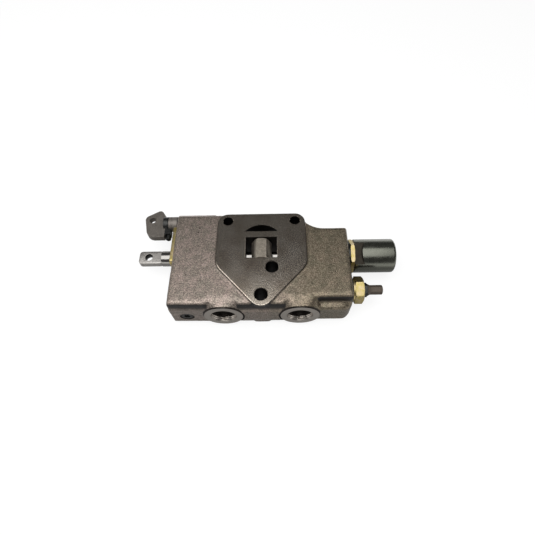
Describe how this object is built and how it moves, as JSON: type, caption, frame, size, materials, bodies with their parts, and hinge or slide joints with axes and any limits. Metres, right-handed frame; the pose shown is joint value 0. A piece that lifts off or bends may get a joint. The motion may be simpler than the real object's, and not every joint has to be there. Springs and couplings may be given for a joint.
{
  "type": "hydraulic directional valve section",
  "caption": "Stackable cast hydraulic spool valve section with threaded work ports, spring-centred spool, adjustable relief cartridge and flow-control lever.",
  "frame": {"origin": "on the lower stacking face, midway between the two rear tie-rod holes", "axes": "+X along the spool from its tang to its spring cap, -Y towards the work ports, +Z the stacking direction"},
  "size_m": [0.2302, 0.1031, 0.04],
  "materials": {
    "housing_iron": "shot-blasted grey iron with machined pads and port faces",
    "spool_steel": "ground and polished hardened steel",
    "seal_rubber": "matt black nitrile rubber",
    "yellow_zinc": "steel with yellow zinc plating",
    "screw_steel": "black-oxide alloy steel",
    "cap_black_oxide": "turned steel, black oxide, satin",
    "spring_steel": "drawn spring steel wire",
    "seat_steel": "turned steel",
    "lever_phosphate": "manganese phosphated steel, dark grey",
    "gland_steel": "turned grey steel",
    "adjuster_steel": "dark brownish grey turned steel",
    "check_steel": "plain milled steel, grey-brown"
  },
  "bodies": {
    "housing": {"valve_body": "housing_iron", "rod_seal": "seal_rubber", "wiper_ring": "seal_rubber", "spool_retaining_plate": "yellow_zinc", "plate_screws": "screw_steel", "spring_cap": "cap_black_oxide", "cap_lock_ring": "yellow_zinc", "cap_o_ring": "seal_rubber", "centring_spring": "spring_steel", "inner_spring_seat": "seat_steel", "spindle_gland": "gland_steel", "gland_seal": "seal_rubber", "relief_cartridge_body": "yellow_zinc", "relief_bonded_seal": "seal_rubber", "relief_seat": "seat_steel", "relief_spring": "spring_steel", "check_valve_body": "check_steel", "check_spring": "spring_steel", "gallery_plug": "screw_steel"},
    "spool_group": {"spool": "spool_steel", "outer_spring_seat": "seat_steel", "spool_end_screw": "screw_steel"},
    "flow_lever_group": {"flow_lever_blade": "lever_phosphate", "flow_lever_hub": "lever_phosphate", "lever_lock_screw": "screw_steel", "flow_spindle": "seat_steel", "spindle_o_ring": "seal_rubber"},
    "poppet": {"relief_poppet": "seat_steel"},
    "adjuster": {"relief_adjusting_screw": "adjuster_steel", "relief_spring_disc": "seat_steel"},
    "lock_nut": {"relief_lock_nut": "screw_steel"},
    "ball": {"check_ball": "seat_steel"}
  },
  "joints": [
    {"name": "spool_slide", "type": "slide", "parent": "housing", "child": "spool_group", "axis": [1, 0, 0], "range_m": [-0.0065, 0.0065], "stiffness_N_per_m": 12000, "deforming": ["centring_spring"]},
    {"name": "flow_lever_turn", "type": "hinge", "parent": "housing", "child": "flow_lever_group", "pos_m": [-0.088, 0.0058, 0.028], "axis": [1, 0, 0], "range_deg": [-135, 135]},
    {"name": "relief_poppet_slide", "type": "slide", "parent": "housing", "child": "poppet", "axis": [1, 0, 0], "range_m": [0, 0.0015], "stiffness_N_per_m": 20000, "springref_m": -0.001, "deforming": ["relief_spring"]},
    {"name": "check_ball_slide", "type": "slide", "parent": "housing", "child": "ball", "axis": [0, -1, 0], "range_m": [0, 0.0012], "stiffness_N_per_m": 300, "springref_m": -0.001, "deforming": ["check_spring"]},
    {"name": "adjusting_screw_turn", "type": "hinge", "parent": "housing", "child": "adjuster", "pos_m": [0.095, -0.0606, 0.019], "axis": [1, 0, 0], "range_deg": [-360, 360]},
    {"name": "lock_nut_turn", "type": "hinge", "parent": "housing", "child": "lock_nut", "pos_m": [0.089, -0.0606, 0.019], "axis": [1, 0, 0], "range_deg": [-360, 360]}
  ]
}
